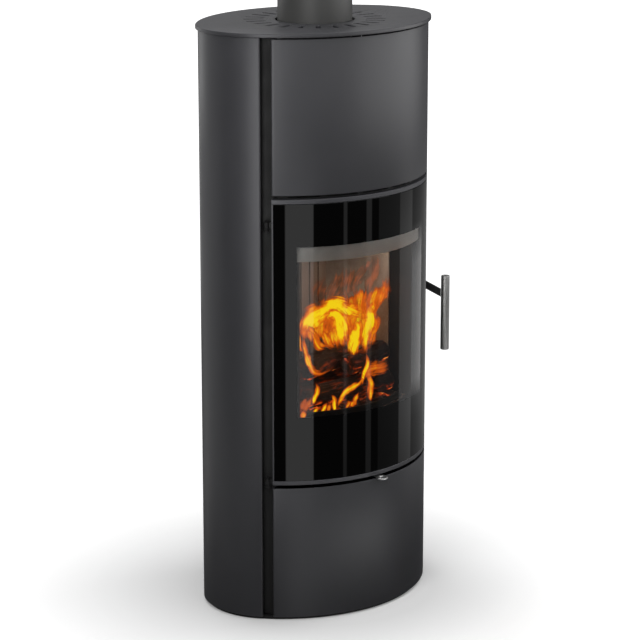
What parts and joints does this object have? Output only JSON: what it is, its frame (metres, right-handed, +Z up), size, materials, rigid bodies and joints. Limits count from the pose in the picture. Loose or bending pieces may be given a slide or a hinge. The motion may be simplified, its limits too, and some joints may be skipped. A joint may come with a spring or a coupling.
{
  "type": "wood stove",
  "caption": "Tall oval steel wood stove with a curved glass door, a vertical bar handle, a pull-out air lever, a brick-lined firebox with logs and a top flue pipe.",
  "frame": {"origin": "on the floor under the middle of the oval body", "axes": "+Z up, the door faces -Y, +X to the right when facing the door"},
  "size_m": [0.5278, 0.433, 1.345],
  "materials": {
    "paint": "satin anthracite stove paint",
    "inner_steel": "matt black heat paint",
    "cast_iron": "bare casting",
    "stainless": "brushed along its length",
    "bright_steel": "plain bright sheet",
    "glass": "clear ceramic glass with a black printed border",
    "rope": "braided glass fibre",
    "brick": "light fire brick",
    "dark_brick": "fire brick darkened by soot",
    "bark": "burning split log",
    "pipe": "matt dark grey heat paint"
  },
  "bodies": {
    "casing": {"left_side_panel": "paint", "right_side_panel": "paint", "upper_front_panel": "paint", "lower_front_panel": "paint", "rear_panel": "paint", "top_plate": "paint", "air_slot_strip": "paint", "base_plate": "inner_steel", "left_post": "inner_steel", "right_post": "inner_steel", "firebox_shell": "inner_steel", "firebox_front": "inner_steel", "grate_ledge": "inner_steel", "upper_baffle": "inner_steel", "flue_collar": "inner_steel", "front_stand": "inner_steel", "rear_stand": "inner_steel", "air_box": "inner_steel", "air_inlet_spigot": "inner_steel", "air_port_plate": "inner_steel", "lower_hinge_bracket": "inner_steel", "upper_hinge_bracket": "inner_steel", "grate": "cast_iron", "log_guard": "cast_iron", "ash_pan": "bright_steel", "lower_hinge_pin": "bright_steel", "upper_hinge_pin": "bright_steel", "lower_keeper": "bright_steel", "upper_keeper": "bright_steel", "left_side_brick": "brick", "right_side_brick": "brick", "floor_brick": "brick", "lower_baffle": "brick", "left_corner_brick": "dark_brick", "right_corner_brick": "dark_brick", "rear_brick": "dark_brick", "front_log": "bark", "rear_log": "bark", "left_log": "bark", "right_log": "bark", "flue_pipe": "pipe"},
    "door": {"door_frame": "paint", "door_glass": "glass", "glass_tape": "rope", "left_glass_retainer": "bright_steel", "right_glass_retainer": "bright_steel", "door_seal": "rope", "air_wash_deflector": "bright_steel", "lower_latch_guide": "inner_steel", "upper_latch_guide": "inner_steel"},
    "handle": {"latch_rod": "bright_steel", "lower_latch_finger": "bright_steel", "upper_latch_finger": "bright_steel", "handle_arm": "inner_steel", "handle_bar": "stainless"},
    "air_control": {"air_damper": "bright_steel", "air_rod": "bright_steel", "air_lever": "stainless"}
  },
  "joints": [
    {"name": "door_hinge", "type": "hinge", "parent": "casing", "child": "door", "pos_m": [-0.21105, -0.09898, 0], "axis": [0, 0, -1], "range_deg": [0, 100]},
    {"name": "latch_turn", "type": "hinge", "parent": "door", "child": "handle", "pos_m": [0.20787, -0.09594, 0], "axis": [0, 0, -1], "range_deg": [0, 25]},
    {"name": "air_slide", "type": "slide", "parent": "casing", "child": "air_control", "axis": [0, -1, 0], "range_m": [0, 0.045]}
  ]
}
